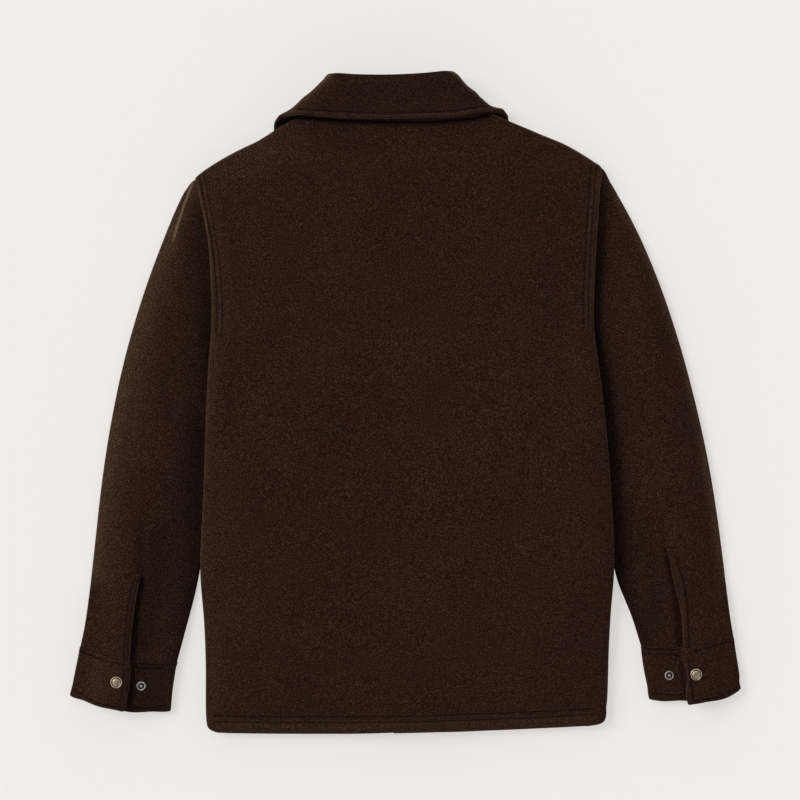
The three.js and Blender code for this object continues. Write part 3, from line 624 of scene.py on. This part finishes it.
# Collar
# A turned-down collar of two layers of wool, rolled over a short stand that is sewn to the neck.
# It is stitched once round its edge, which rolls forward a little at both shoulders. Its two
# leaves go round to the front and lie beneath the fronts.
COLLAR_ROW = [(-131.6, 325.4), (-129.2, 331.6), (-124, 336.6), (-117, 338.8), (-84, 335.6), (-48.6, 332.9),
              (-15, 331.2), (18.1, 331), (48, 331.6), (72.2, 332.8), (110.3, 337.6)]

# The fall rises from its sewn edge towards the roll. Its leaves, which lie lower, stay as they are.
COLLAR_TILT = 6.5
TILT_STARTS = 334
TILT_RUN = 44
TOP_OF_LEAVES = 16
COLLAR_SWELLS = [(0.5, 40, 1.3)]
COLLAR_FOLDS = [
    (COLLAR_ROW, -1.9, 2.1, 8),
    (moved_aside(COLLAR_ROW, -4.6), 1.7, 3.4, 8),
    (moved_aside(COLLAR_ROW, -9), 2.2, 9, 20),
    ([(-96, 362), (-60, 352), (-24, 347)], -0.7, 9, 20),
    ([(34, 350), (66, 355), (92, 362)], -0.6, 9, 18),
]
COLLAR_PULLS = [
    ((72, 377), 12, (1.3, 0.5)),
    ((90, 362), 19, (-2.7, -0.8)),
    ((108, 350), 18, (-3.6, -1)),
    ((102, 350), 15, (-0.9, -0.4)),
    ((70, 327), 36, (0, -2.4)),
    ((102, 332), 14, (0, -1)),
    ((114, 342), 12, (-3.2, -1.6)),
    ((124, 334), 8, (1.6, 1.2)),
    ((135, 322), 10, (-3.8, 0.4)),
    ((-76, 379), 10, (-1.6, 0.5)),
    ((-96, 361), 20, (1.3, -0.4)),
    ((-116, 344), 18, (1.5, -0.6)),
    ((-131, 334), 9, (-1.6, 0.8)),
    ((-139, 320), 12, (1.8, 0)),
]
# Painted highlight on the edge strip below the sewn row, and on the left part of the fall.
COLLAR_PAINTED_HIGHLIGHT = [
    (moved_aside(COLLAR_ROW, -3.2), 0.12, 2.4),
    ([(-120, 338), (-94, 360), (-76, 380)], 0.16, 13),
]
# Painted shade across the middle of the fall, and deep in the hook at its left end.
COLLAR_PAINTED_SHADE = [
    ([(-110, 352), (-40, 362), (40, 362), (100, 352)], 0.17, 26),
    ([(-134, 312), (-124, 319), (-112, 326)], 0.75, 4),
]

collar = cloth_shell("collar_fall_cloth", "collar_fall")
collar_places = on_garment(read_places(collar))
collar_lift = padded_lift(collar_places, COLLAR_SWELLS, COLLAR_FOLDS)
collar_lift += COLLAR_TILT * smooth_share((collar_places[:, 1] - TILT_STARTS) / TILT_RUN)
shape_cloth(collar, collar_lift, above=TOP_OF_LEAVES)
for spot, reach, move in COLLAR_PULLS:
    pull(collar, spot, reach, move)
mark_line(collar, "row_1", COLLAR_ROW)
paint_light_and_shade(collar, "painted_highlight", COLLAR_PAINTED_HIGHLIGHT)
paint_light_and_shade(collar, "painted_shade", COLLAR_PAINTED_SHADE)
collar.data.materials.append(stitched_wool)
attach(collar, "root")
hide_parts("collar_fall")
collar_stitches = sew("collar_stitches", collar, [COLLAR_ROW])
hidden_panel(
    "collar_stand_band", "collar_stand", levels=2, swells=[]
)


# Sleeves
# Long one-piece sleeves, set in at the armholes and lying flat beside the body, with the seam
# turned under. Each has an open vent above the cuff, its outer end folded and lying on its inner
# end, with a row of stitches inside the fold and a bar tack at its head.
OUTWARDS = {"left": -1, "right": 1}
VENT_EDGE = {
    "left": [(-300.7, -192.5), (-305.4, -206), (-309.2, -219.2), (-312.4, -238), (-314.6, -258.2),
             (-316.0, -276), (-316.9, -291.5)],
    "right": [(304.7, -178.1), (309.8, -192), (313.8, -207.4), (317, -222), (318.6, -235.1),
              (319.4, -254), (319.6, -270.8), (319.8, -290.4)],
}
SLEEVE_OUTLINE = {
    "left": [(-232.9, 260.2), (-244.7, 245.5), (-259.1, 215.8), (-276.1, 172.5), (-294.3, 124.5),
             (-315.2, 55.9), (-331.6, -12.8), (-348.3, -104.5), (-359.4, -196.3)],
    "right": [(236.6, 266.4), (248.8, 244.8), (269.9, 205.3), (288.6, 163.5), (307.1, 112.5),
              (327.6, 43.1), (343.5, -26.2), (357.8, -118.6), (369.7, -210.8)],
}
HEAD_FOLD = [(-227, 268), (-233, 259), (-238.4, 246.5), (-243.8, 232.8), (-248.1, 220.2), (-251.8, 208.8),
             (-258.4, 188)]
HEAD_FOLD_ENDS = 22
UNDERSIDE_BELOW = 6
# How the sleeves' painted shade fades out at the ends of its lines.
PAINTED_SHADE_ENDS = 60

# Each stretch that is pressed down has its line, the share of its height, and how far it reaches.
SLEEVE_PRESSED = {
    "left": [
        (SLEEVE_OUTLINE["left"], 0.6, 36),
        (BODY_EDGE["left"], 0.48, 76),
        ([(-272, -150), (-284, -220), (-290, -270)], 0.3, 28),
    ],
    "right": [
        (SLEEVE_OUTLINE["right"], 0.36, 20),
        (BODY_EDGE["right"], 0.48, 76),
        ([(280, -140), (290, -210), (294, -262)], 0.3, 28),
    ],
}
SLEEVE_SWELLS = [(1.0, 70, 2.2), (0.35, 26, 6.3)]
SLEEVE_FOLDS = {
    "left": [
        (HEAD_FOLD, 2.6, 2.2, 16),
        ([(-226, 240), (-229, 206), (-231, 176), (-236, 130)], -2.6, 8, 30),
        ([(-268, 180), (-282, 110), (-292, 40)], 0.9, 20, 60),
        ([(-240, 60), (-262, 20), (-276, -40)], -0.9, 16, 50),
        ([(-236, -70), (-264, -96), (-300, -110)], -0.8, 14, 40),
        ([(-295, -120), (-298.6, -166), (-301.4, -196)], -2.8, 5.6, 22),
        ([(-304, -122), (-308, -166), (-311, -196)], 1.2, 6, 24),
        ([(-330, -120), (-338, -180), (-346, -240)], -0.8, 14, 50),
        ([(-350, -262), (-334, -254), (-322, -238)], -0.7, 7, 18),
        ([(-360, -232), (-348, -250), (-342, -272)], 0.8, 7, 14),
        ([(-274, -236), (-286, -262), (-290, -286)], -0.8, 8, 18),
    ],
    "right": [
        ([(240, 250), (252, 206), (268, 160), (284, 118), (294, 56)], 1.5, 14, 50),
        ([(238, 226), (241, 176), (244, 130)], -2.4, 10, 34),
        ([(300, 60), (316, 0), (326, -70)], 0.8, 20, 60),
        ([(250, 40), (276, 0), (290, -50)], -0.9, 16, 50),
        ([(246, -90), (272, -110), (310, -116)], -0.7, 14, 40),
        ([(297.5, -128), (302.2, -160), (305.4, -182)], -2.4, 6, 18),
        ([(290, -126), (293.6, -160), (297, -196)], 1.1, 6, 22),
        ([(338, -120), (350, -180), (358, -236)], -0.8, 14, 50),
        ([(366, -250), (350, -250), (334, -238)], -0.7, 7, 16),
        ([(282, -224), (296, -250), (300, -276)], -0.8, 8, 18),
    ],
}
SLEEVE_PULLS = {
    "left": [((-230, 258), 13, (-0.6, 3)), ((-318, 70), 210, (-0.9, 0.3))],
    "right": [((238, 261), 16, (1, 8.2))],
}
# Painted highlight along the sleeves' outer edges, on the left sleeve's head fold and down its upper outer
# part.
SLEEVE_PAINTED_HIGHLIGHT = {
    "left": [
        (SLEEVE_OUTLINE["left"], 0.4, 14),
        (HEAD_FOLD, 0.26, 5),
        ([(-268, 180), (-282, 110), (-292, 40), (-300, -60)], 0.06, 30),
    ],
    "right": [(SLEEVE_OUTLINE["right"], 0.36, 6)],
}
# Painted shade on the sleeves beside the body's edges and on their inner parts above the cuffs.
SLEEVE_PAINTED_SHADE = {
    "left": [
        (BODY_EDGE["left"][1:7], 0.2, 9),
        (BODY_EDGE["left"][6:], 0.44, 16),
        ([(-270, -120), (-284, -220), (-293, -300)], 0.2, 20),
        ([(-233, -110), (-236, -200), (-252, -250), (-264, -340)], 0.42, 17),
    ],
    "right": [
        (BODY_EDGE["right"][2:], 0.4, 12),
        ([(278, -110), (290, -210), (296, -296)], 0.14, 18),
        ([(240, -100), (246, -200), (262, -262), (273, -350)], 0.42, 16),
    ],
}

# Across the vent's folded edge, with outwards above zero: its sewn row, the top of the fold, the step down
# to the inner end, and the line of painted shade along that step.
VENT_ROW_ASIDE = 5.2
VENT_FOLD_ASIDE = 2.4
VENT_STEP_ASIDE = -3.2
VENT_SHADE_ASIDE = -1.8
VENT_FOLD_SHAPE = (1.2, 3, 10)
VENT_STEP_SHAPE = (-5.5, 2.7, 10)
BAR_TACK_HEIGHTS = (6, 5.4)
BAR_TACK_LENGTH = {"left": 6, "right": 10}
BAR_TACK_WIDTH = 0.7
BAR_TACK_PITCH = 1.1


def press(piece, line, share, reach):
    """Presses the cloth beside a line down towards the floor, by a share of its height."""
    places = read_places(piece)
    side, _, _ = beside_line(on_garment(places), line)
    places[:, 2] *= 1 - share * smooth_share(1 - np.abs(side) / reach)
    write_places(piece, places)


def sleeve(side):
    outwards = OUTWARDS[side]
    edge = VENT_EDGE[side]
    row = moved_aside(edge, VENT_ROW_ASIDE * outwards)
    vent_folds = [
        (moved_aside(edge, VENT_STEP_ASIDE * outwards), *VENT_STEP_SHAPE),
        (moved_aside(edge, VENT_FOLD_ASIDE * outwards), *VENT_FOLD_SHAPE),
    ]
    head_x, head_y = edge[0]
    tack_starts, tack_ends = BAR_TACK_HEIGHTS
    tack = [
        (head_x, head_y + tack_starts),
        (head_x + BAR_TACK_LENGTH[side] * outwards, head_y + tack_ends),
    ]

    piece = cloth_shell(f"{side}_sleeve_cloth", f"{side}_sleeve")
    for spot, reach, move in SLEEVE_PULLS[side]:
        pull(piece, spot, reach, move)
    for line, share, reach in SLEEVE_PRESSED[side]:
        press(piece, line, share, reach)
    places = on_garment(read_places(piece))
    lift = padded_lift(places, SLEEVE_SWELLS, SLEEVE_FOLDS[side] + vent_folds)
    shape_cloth(piece, lift, above=UNDERSIDE_BELOW)
    mark_line(piece, "row_1", row)
    # This line isn't sewn: it gives the step the groove's painted shade and relief.
    mark_line(piece, "row_2", moved_aside(edge, VENT_SHADE_ASIDE * outwards))
    # The left sleeve's head fold gets a painted highlight along its ridge.
    if side == "left":
        mark_line(piece, "fold", HEAD_FOLD, ends=HEAD_FOLD_ENDS)
    paint_light_and_shade(piece, "painted_highlight", SLEEVE_PAINTED_HIGHLIGHT[side])
    paint_light_and_shade(piece, "painted_shade", SLEEVE_PAINTED_SHADE[side], ends=PAINTED_SHADE_ENDS)
    piece.data.materials.append(stitched_wool)
    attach(piece, "root")
    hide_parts(f"{side}_sleeve")
    stitches = sew(f"{side}_vent_stitches", piece, [row])
    tack_threads = [tack, moved_aside(tack, BAR_TACK_WIDTH)]
    bar_tack = sew(f"{side}_vent_bar_tack", piece, tack_threads, pitch=BAR_TACK_PITCH)


for side in ("left", "right"):
    sleeve(side)


# Cuffs
# One band of doubled wool on each sleeve, open and lying flat. The outer end lies raised on the
# inner end. A row of stitches runs round each end of the band, just inside its edges.
CUFF_ROWS = {
    "left": [
        [(-372.4, -277.4), (-356, -283.6), (-343.9, -288.2), (-330, -291.6), (-321.5, -293.2)],
        [(-321.6, -299), (-324, -320), (-327, -341)],
        [(-380.6, -321.5), (-366, -330.5), (-354.2, -335.6), (-338, -340), (-326, -341.6)],
        [(-311.5, -291.4), (-290, -294), (-264.5, -295.2)],
        [(-310.5, -297), (-290, -299.4), (-265.5, -300.6)],
        [(-316, -343.6), (-296, -344), (-275, -341.6)],
    ],
    "right": [
        [(324, -292.4), (340, -289), (354.5, -285), (377.6, -281)],
        [(324.4, -299), (326.4, -322), (329, -345)],
        [(331, -347.6), (350, -345), (367, -341.6), (382, -334)],
        [(272.5, -287), (296, -288.8), (313, -290)],
        [(273.4, -292.4), (296, -294.2), (313, -295.4)],
        [(282.6, -338.4), (300, -341), (317, -341.4)],
    ],
}
CUFF_SNAPS = {
    "left": {"cap": (-331, -313), "stud": (-303.5, -318.7)},
    "right": {"cap": (332.7, -317.2), "stud": (302.8, -318.6)},
}
CUFF_SEAM = {
    "left": [(-373.9, -274.6), (-356, -281.6), (-343.9, -285.9), (-316.9, -291.5), (-290, -294.8),
             (-262.4, -294.3)],
    "right": [(271.1, -284.3), (296, -288.6), (317.5, -290.6), (338, -287.6), (354.5, -283.4),
              (378.5, -278.5)],
}

# Beside its seam the band is drawn up over the sleeve's end. Its underside isn't lifted.
CUFF_OVER_SLEEVE = 2.4
SEAM_REACH = 7
CUFF_UNDERSIDE_BELOW = 5
CUFF_SWELLS = [(0.4, 24, 4.4)]
CUFF_ROW_SHAPE = (-0.55, 2, 8)

# The inner end dips along the outer end's edge: how far inwards of the sewn row, and how deep.
# The cloth is also pressed in round each snap.
OVERLAP_HOLLOW = {"left": (7.4, 2.8), "right": (6, 1.2)}
OVERLAP_HOLLOW_WIDTH = 2.4
OVERLAP_HOLLOW_ENDS = 6
SNAP_HOLLOW = 0.7
SNAP_HOLLOW_REACH = 10

# Each pull on a cuff also has the height above which it moves the cloth.
ONLY_OUTER_END = 11
CUFF_PULLS = {
    "left": [
        ((-322, -318), 40, (4.6, 0), ONLY_OUTER_END),
        ((-326, -346), 24, (1.8, 0), ONLY_OUTER_END),
        ((-272, -346), 26, (1, -3.4), EVERY_LAYER),
        ((-336, -346), 26, (0, 1.4), EVERY_LAYER),
        ((-381, -328), 14, (-1.2, -1.2), EVERY_LAYER),
        ((-261, -293), 7, (1.6, 0), EVERY_LAYER),
    ],
    "right": [
        ((329, -346), 34, (-5.4, 0), ONLY_OUTER_END),
        ((322, -296), 24, (-4.2, 0), ONLY_OUTER_END),
        ((317, -352), 30, (0, 4.2), EVERY_LAYER),
        ((317, -352), 30, (0, -4.2), ONLY_OUTER_END),
        ((371, -340), 32, (0, -4), EVERY_LAYER),
        ((386, -330), 12, (-1.6, 1), EVERY_LAYER),
        ((279, -341), 12, (-1, -0.8), EVERY_LAYER),
        ((272, -310), 40, (-1.5, 0), EVERY_LAYER),
    ],
}
# Painted shade on the left cuff's inner end, and painted highlight on its outer end.
CUFF_PAINTED_TONES = {
    "left": {
        "painted_shade": [([(-288, -290), (-292, -350)], 0.26, 24)],
        "painted_highlight": [([(-350, -284), (-356, -336)], 0.07, 24)],
    },
    "right": {},
}


def cuff(side):
    piece = cloth_shell(f"{side}_cuff_cloth", f"{side}_cuff", levels=3)
    places = read_places(piece)
    beside_seam, _, _ = beside_line(on_garment(places), CUFF_SEAM[side])
    places[:, 1] += CUFF_OVER_SLEEVE * MM * smooth_share(1 - np.abs(beside_seam) / SEAM_REACH)
    write_places(piece, places)
    for spot, reach, move, above in CUFF_PULLS[side]:
        pull(piece, spot, reach, move, above)

    inwards, depth = OVERLAP_HOLLOW[side]
    under_outer_end = moved_aside(CUFF_ROWS[side][1], -inwards * OUTWARDS[side])
    folds = [(line, *CUFF_ROW_SHAPE) for line in CUFF_ROWS[side]]
    folds.append((under_outer_end, -depth, OVERLAP_HOLLOW_WIDTH, OVERLAP_HOLLOW_ENDS))
    places = on_garment(read_places(piece))
    lift = padded_lift(places, CUFF_SWELLS, folds)
    for snap_x, snap_y in CUFF_SNAPS[side].values():
        away = np.hypot(places[:, 0] - snap_x, places[:, 1] - snap_y)
        lift -= SNAP_HOLLOW * np.exp(-((away / SNAP_HOLLOW_REACH) ** 4))
    shape_cloth(piece, lift, above=CUFF_UNDERSIDE_BELOW)
    for number, line in enumerate(CUFF_ROWS[side], start=1):
        mark_line(piece, f"row_{number}", line)
    for name, lines in CUFF_PAINTED_TONES[side].items():
        paint_light_and_shade(piece, name, lines)
    piece.data.materials.append(stitched_wool)
    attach(piece, "root")
    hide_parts(f"{side}_cuff")
    stitches = sew(f"{side}_cuff_stitches", piece, CUFF_ROWS[side])
    return piece


cuffs = {side: cuff(side) for side in ("left", "right")}


# Snaps
# Press snaps of antique brass. Each cuff has a cap, pressed with a rim and a low dome, on its
# outer end and a stud on its inner end. Seven more close the front, sunk in the placket.
FRONT_SNAPS = 7
SNAP_SUNK = 0.25
SNAP_ROUNDING = 0.18
SNAP_SIDES = 48


def aged_brass(name, bright, dull):
    """Metal that is worn bright in places and dull in others."""
    material = bpy.data.materials.new(name)
    material.use_nodes = True
    nodes = material.node_tree.nodes
    links = material.node_tree.links
    skin = nodes["Principled BSDF"]
    skin.inputs["Metallic"].default_value = 0.92
    place = nodes.new("ShaderNodeTexCoord")
    wear = nodes.new("ShaderNodeTexNoise")
    wear.inputs["Scale"].default_value = 420
    wear.inputs["Detail"].default_value = 4
    links.new(place.outputs["Object"], wear.inputs["Vector"])
    tarnish = nodes.new("ShaderNodeValToRGB")
    tarnish.color_ramp.elements[0].position = 0.38
    tarnish.color_ramp.elements[0].color = (*dull, 1)
    tarnish.color_ramp.elements[1].position = 0.62
    tarnish.color_ramp.elements[1].color = (*bright, 1)
    links.new(wear.outputs["Fac"], tarnish.inputs["Fac"])
    links.new(tarnish.outputs["Color"], skin.inputs["Base Color"])
    rub = nodes.new("ShaderNodeMapRange")
    rub.inputs["To Min"].default_value = 0.5
    rub.inputs["To Max"].default_value = 0.3
    links.new(wear.outputs["Fac"], rub.inputs["Value"])
    links.new(rub.outputs["Result"], skin.inputs["Roughness"])
    relief = nodes.new("ShaderNodeBump")
    relief.inputs["Distance"].default_value = 0.1 * MM
    relief.inputs["Strength"].default_value = 0.5
    links.new(wear.outputs["Fac"], relief.inputs["Height"])
    links.new(relief.outputs["Normal"], skin.inputs["Normal"])
    return material


snap_brass = aged_brass("antique brass", (0.68, 0.55, 0.39), (0.32, 0.25, 0.165))
stud_metal = aged_brass("worn nickel", (0.7, 0.67, 0.6), (0.4, 0.37, 0.31))
patina = aged_brass("dark patina", (0.05, 0.042, 0.034), (0.016, 0.013, 0.01))

# Each step pressed into a snap is an inset and a rise, from its rim to its middle.
CUFF_SNAP_PARTS = {
    "cap": {
        "radius": 6.5,
        "depth": 1.5,
        "steps": [(0.45, 0.3), (0.5, 0.05), (0.25, -0.5), (0.75, 0), (0.3, 0.55), (1.1, 0.3),
                  (1.4, 0.16), (1.2, 0.05)],
        "dark_ring": (4.4, 5.5),
        "metal": snap_brass,
    },
    "stud": {
        "radius": 5.1,
        "depth": 1.2,
        "steps": [(0.3, 0.2), (0.9, 0), (0.25, -0.6), (1, 0), (0.3, 0.2), (0.3, -0.2), (0.5, 0),
                  (0.15, 1.1), (0.4, 0.3)],
        "dark_ring": (1.45, 3.85),
        "metal": stud_metal,
    },
}


def pressed_disc(name, place, radius, depth, steps, dark_ring, metal):
    """A disc with rings pressed into its top, in millimetres.

    The faces between the two radii of dark_ring are the recess that keeps its patina.
    """
    bpy.ops.object.select_all(action="DESELECT")
    bpy.ops.mesh.primitive_cylinder_add(
        vertices=SNAP_SIDES,
        radius=radius * MM,
        depth=depth * MM,
        location=place + Vector((0, 0, depth * MM / 2)),
    )
    disc = bpy.context.object
    disc.name = name
    bpy.ops.object.transform_apply(location=True)
    bpy.ops.object.mode_set(mode="EDIT")
    bpy.ops.mesh.select_mode(type="FACE")
    bpy.ops.mesh.select_all(action="DESELECT")
    shape = bmesh.from_edit_mesh(disc.data)
    top = max(shape.faces, key=lambda face: face.calc_center_median().z)
    top.select = True
    bmesh.update_edit_mesh(disc.data)
    for inset, rise in steps:
        bpy.ops.mesh.inset(thickness=inset * MM, depth=rise * MM)
    bpy.ops.object.mode_set(mode="OBJECT")
    edges = disc.modifiers.new("edges", "BEVEL")
    edges.width = SNAP_ROUNDING * MM
    edges.segments = 2
    edges.limit_method = "ANGLE"
    edges.angle_limit = math.radians(35)
    bpy.ops.object.modifier_apply(modifier="edges")
    bpy.ops.object.shade_smooth_by_angle(angle=math.radians(40))
    disc.data.materials.append(metal)
    disc.data.materials.append(patina)
    for face in disc.data.polygons:
        away = math.hypot(face.center.x - place.x, face.center.y - place.y) / MM
        level = (face.center.z - place.z) / MM
        if dark_ring[0] < away < dark_ring[1] and level > depth / 2:
            face.material_index = 1
    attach(disc, "root")
    return disc


for side in ("left", "right"):
    cloth = BVHTree.FromObject(cuffs[side], bpy.context.evaluated_depsgraph_get())
    for kind, parts in CUFF_SNAP_PARTS.items():
        top, _, _, _ = cloth.ray_cast(laid(*CUFF_SNAPS[side][kind], HIGH_ABOVE), DOWN)
        snap = pressed_disc(f"{side}_cuff_{kind}", top + DOWN * SNAP_SUNK * MM, **parts)
        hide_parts(f"{side}_cuff_snap_{kind}")
for number in range(1, FRONT_SNAPS + 1):
    front_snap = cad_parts[f"front_snap_{number}"]
    front_snap.data.materials.clear()
    front_snap.data.materials.append(snap_brass)


# Surface, light and camera
# The jacket lies on a plain pale surface and is seen from straight above. Broad soft light comes
# from the upper left, with pale light all round, so that the shadows fall softly to the right.
IMAGE_MIDDLE = (-6.4, 4.8)
CAMERA_HEIGHT = 3000

bpy.ops.object.select_all(action="DESELECT")
bpy.ops.mesh.primitive_plane_add(size=12, location=(0, 0, -0.2 * MM))
surface = bpy.context.object
surface.name = "surface_under_jacket"
paper = bpy.data.materials.new("pale paper")
paper.use_nodes = True
paper_skin = paper.node_tree.nodes["Principled BSDF"]
paper_skin.inputs["Base Color"].default_value = (0.35, 0.34, 0.322, 1)
paper_skin.inputs["Emission Color"].default_value = (0.54, 0.524, 0.498, 1)
paper_skin.inputs["Emission Strength"].default_value = 1
paper_skin.inputs["Roughness"].default_value = 0.9
paper_skin.inputs["Specular IOR Level"].default_value = 0.1
surface.data.materials.append(paper)

window = bpy.data.objects.new("window light", bpy.data.lights.new("window light", "SUN"))
window.data.angle = math.radians(34)
window.data.energy = 2.1
window.location = (-1.9, 1.0, 1.45)
window.rotation_euler = (-Vector(window.location)).to_track_quat("-Z", "Y").to_euler()
bpy.context.scene.collection.objects.link(window)

# The room is bright near the horizon and falls off towards the zenith.
room = bpy.data.worlds.new("pale room")
room.use_nodes = True
room_nodes = room.node_tree.nodes
room_links = room.node_tree.links
direction = room_nodes.new("ShaderNodeTexCoord")
upwards = room_nodes.new("ShaderNodeSeparateXYZ")
room_links.new(direction.outputs["Generated"], upwards.inputs["Vector"])
falling_off = room_nodes.new("ShaderNodeMapRange")
falling_off.inputs["From Min"].default_value = 0.2
falling_off.inputs["From Max"].default_value = 0.65
falling_off.inputs["To Min"].default_value = 2
falling_off.inputs["To Max"].default_value = 0.22
room_links.new(upwards.outputs["Z"], falling_off.inputs["Value"])
room_links.new(falling_off.outputs["Result"], room_nodes["Background"].inputs["Strength"])
room_nodes["Background"].inputs["Color"].default_value = (1, 0.99, 0.98, 1)
bpy.context.scene.world = room
bpy.context.scene.view_settings.view_transform = "Standard"

camera = bpy.data.objects.new("camera", bpy.data.cameras.new("camera"))
camera.data.lens = 117.3
camera.data.sensor_width = 36
camera.location = (IMAGE_MIDDLE[0] * MM, IMAGE_MIDDLE[1] * MM, CAMERA_HEIGHT * MM)
bpy.context.scene.collection.objects.link(camera)
bpy.context.scene.camera = camera
